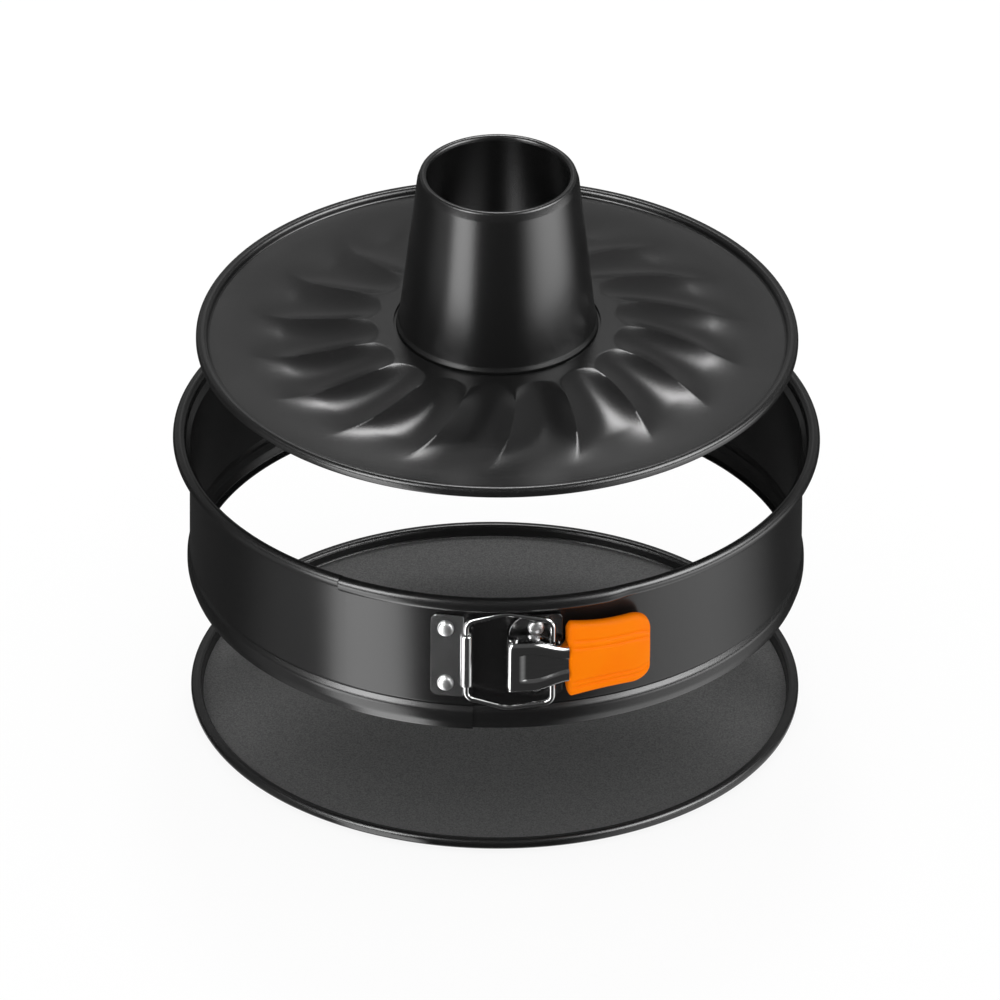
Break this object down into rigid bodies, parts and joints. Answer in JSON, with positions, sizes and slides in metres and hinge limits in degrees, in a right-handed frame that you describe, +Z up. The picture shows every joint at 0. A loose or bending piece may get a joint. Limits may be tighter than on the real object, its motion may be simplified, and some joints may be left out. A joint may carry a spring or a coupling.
{
  "type": "springform pan with tube base",
  "caption": "Round springform cake pan taken apart on its axis: flat base, latched ring with a sprung band and lever, and a fluted tube base.",
  "frame": {"origin": "middle of the flat base's underside, where the pan stands on the table", "axes": "+Z up along the pan's axis, -Y towards the latch, +X to the right when facing the latch"},
  "size_m": [0.2758, 0.2803, 0.2588],
  "materials": {
    "nonstick_coat": "dark graphite non-stick coat with a fine metallic sparkle, satin",
    "latch_steel": "polished stainless steel",
    "grip_silicone": "smooth orange silicone with shallow grooves"
  },
  "bodies": {
    "flat_base": {"flat_base": "nonstick_coat"},
    "ring_back": {"band_back": "nonstick_coat"},
    "left_arm": {"band_left": "nonstick_coat", "keeper_plate": "latch_steel", "keeper_rivet_upper": "latch_steel", "keeper_rivet_lower": "latch_steel"},
    "right_arm": {"band_right": "nonstick_coat", "latch_bracket": "latch_steel", "bracket_rivet_upper": "latch_steel", "bracket_rivet_lower": "latch_steel", "lever_pivot_pin": "latch_steel"},
    "lever": {"lever": "latch_steel", "lever_grip": "grip_silicone"},
    "wire": {"wire_loop": "latch_steel"},
    "tube_base": {"tube_base_plate": "nonstick_coat", "tube": "nonstick_coat"}
  },
  "joints": [
    {"name": "ring_lift", "type": "slide", "parent": "flat_base", "child": "ring_back", "axis": [0, 0, 1], "range_m": [-0.0562, 0]},
    {"name": "tube_base_lift", "type": "slide", "parent": "ring_back", "child": "tube_base", "axis": [0, 0, 1], "range_m": [-0.1116, 0]},
    {"name": "band_left_flex", "type": "hinge", "parent": "ring_back", "child": "left_arm", "pos_m": [-0.11943, 0.06895, 0.0967], "axis": [0, 0, -1], "range_deg": [0, 1]},
    {"name": "band_right_flex", "type": "hinge", "parent": "ring_back", "child": "right_arm", "pos_m": [0.11943, 0.06895, 0.0967], "axis": [0, 0, 1], "range_deg": [0, 1]},
    {"name": "lever_swing", "type": "hinge", "parent": "right_arm", "child": "lever", "pos_m": [0.0077, -0.13778, 0.0997], "axis": [0, 0, -1], "range_deg": [0, 90]},
    {"name": "wire_swing", "type": "hinge", "parent": "left_arm", "child": "wire", "pos_m": [-0.01203, -0.13481, 0.0997], "axis": [0, 0, -1], "range_deg": [0, 33.25]}
  ],
  "couplings": [
    {"joint": "band_left_flex", "follows": "lever_swing", "ratio": 0.01111},
    {"joint": "band_right_flex", "follows": "lever_swing", "ratio": 0.01111},
    {"joint": "wire_swing", "follows": "lever_swing", "ratio": 0.3694}
  ]
}
